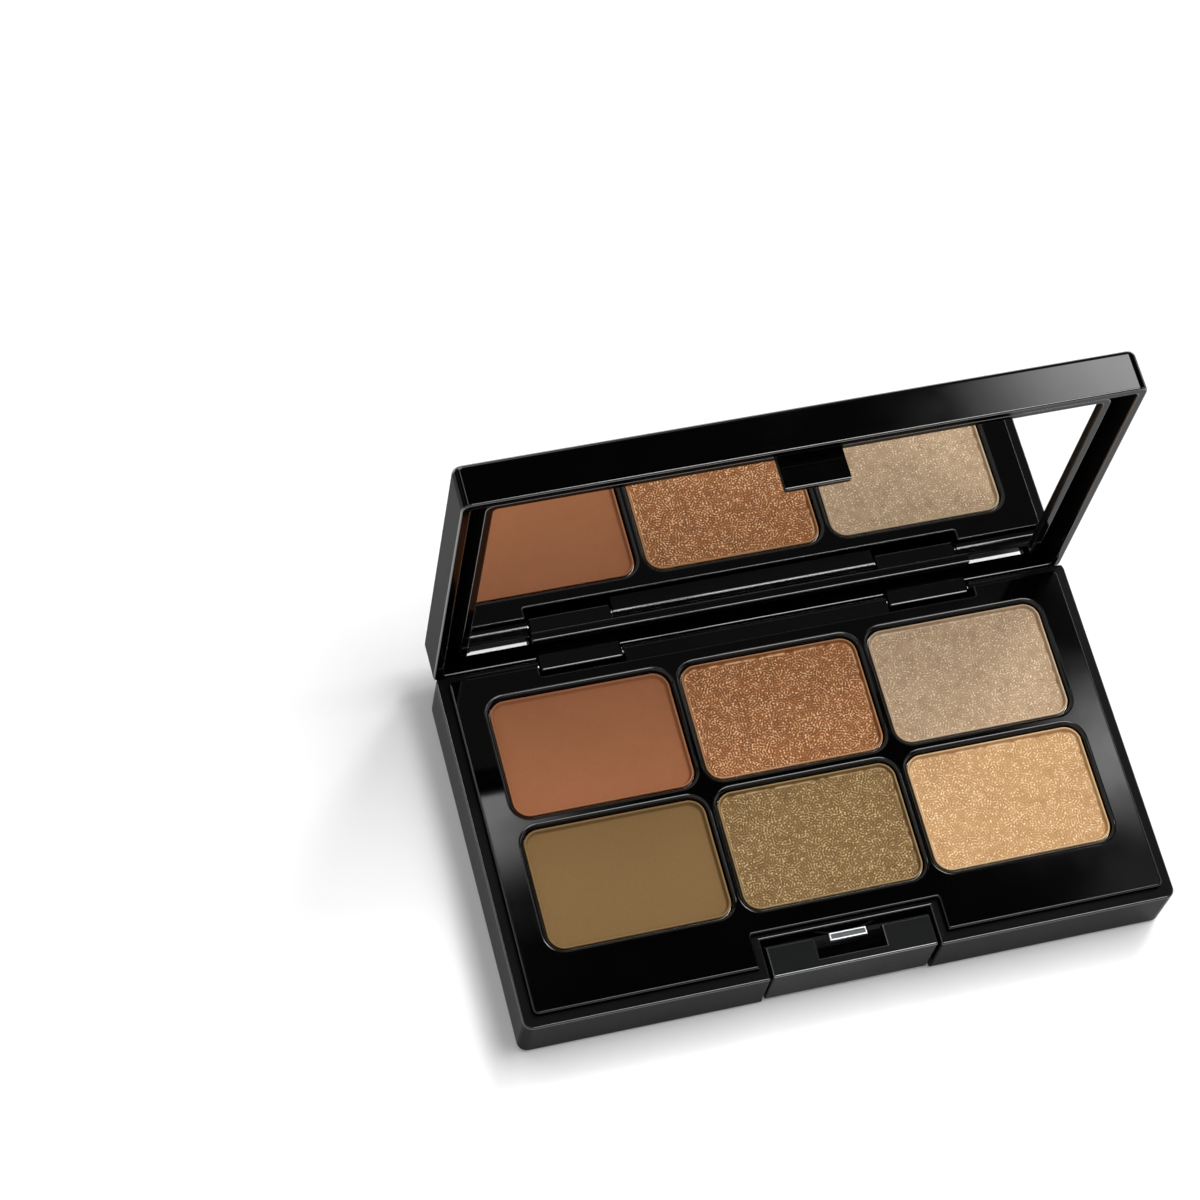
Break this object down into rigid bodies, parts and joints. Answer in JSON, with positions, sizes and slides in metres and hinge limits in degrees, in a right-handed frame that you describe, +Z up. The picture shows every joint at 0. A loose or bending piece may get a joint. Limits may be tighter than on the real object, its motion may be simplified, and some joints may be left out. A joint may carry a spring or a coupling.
{
  "type": "eyeshadow palette",
  "caption": "Slim black eyeshadow palette, hinged open: mirror in the lid, pressed powders in a raised deck and a sprung push-button latch in front.",
  "frame": {"origin": "middle of the base's flat underside", "axes": "+Z up, +X along the hinge to the right, -Y towards the user and the latch"},
  "size_m": [0.104, 0.0659, 0.067],
  "materials": {
    "base_plastic": "polished moulded plastic",
    "deck_plastic": "polished moulded plastic",
    "lid_plastic": "polished moulded plastic",
    "frame_plastic": "polished moulded plastic",
    "button_plastic": "satin moulded plastic",
    "steel": "bright",
    "mirror": "silvered glass",
    "foam_tape": "matte foam",
    "glue": "cured glue",
    "pan_metal": "pressed sheet",
    "powder_rear_left": "pressed matte powder",
    "powder_rear_middle": "pressed glitter powder",
    "powder_rear_right": "pressed shimmer powder",
    "powder_front_left": "pressed matte powder",
    "powder_front_middle": "pressed shimmer powder",
    "powder_front_right": "pressed shimmer powder"
  },
  "bodies": {
    "base": {"base_shell": "base_plastic", "base_deck": "deck_plastic", "button_spring": "steel", "hinge_pin_left": "steel", "hinge_pin_right": "steel", "pan_glue": "glue", "pan_rear_left": "pan_metal", "powder_rear_left": "powder_rear_left", "pan_rear_middle": "pan_metal", "powder_rear_middle": "powder_rear_middle", "pan_rear_right": "pan_metal", "powder_rear_right": "powder_rear_right", "pan_front_left": "pan_metal", "powder_front_left": "powder_front_left", "pan_front_middle": "pan_metal", "powder_front_middle": "powder_front_middle", "pan_front_right": "pan_metal", "powder_front_right": "powder_front_right"},
    "lid": {"lid_shell": "lid_plastic", "mirror_frame": "frame_plastic", "mirror_glass": "mirror", "mirror_tape": "foam_tape"},
    "button": {"latch_button": "button_plastic", "catch_plate": "steel"}
  },
  "joints": [
    {"name": "lid_hinge", "type": "hinge", "parent": "base", "child": "lid", "pos_m": [0, 0.02825, 0.00925], "axis": [-1, 0, 0], "range_deg": [-90, 10]},
    {"name": "button_press", "type": "slide", "parent": "base", "child": "button", "axis": [0, 1, 0], "range_m": [0, 0.0008], "stiffness_N_per_m": 1500, "springref_m": -0.0005, "deforming": ["button_spring"]}
  ]
}
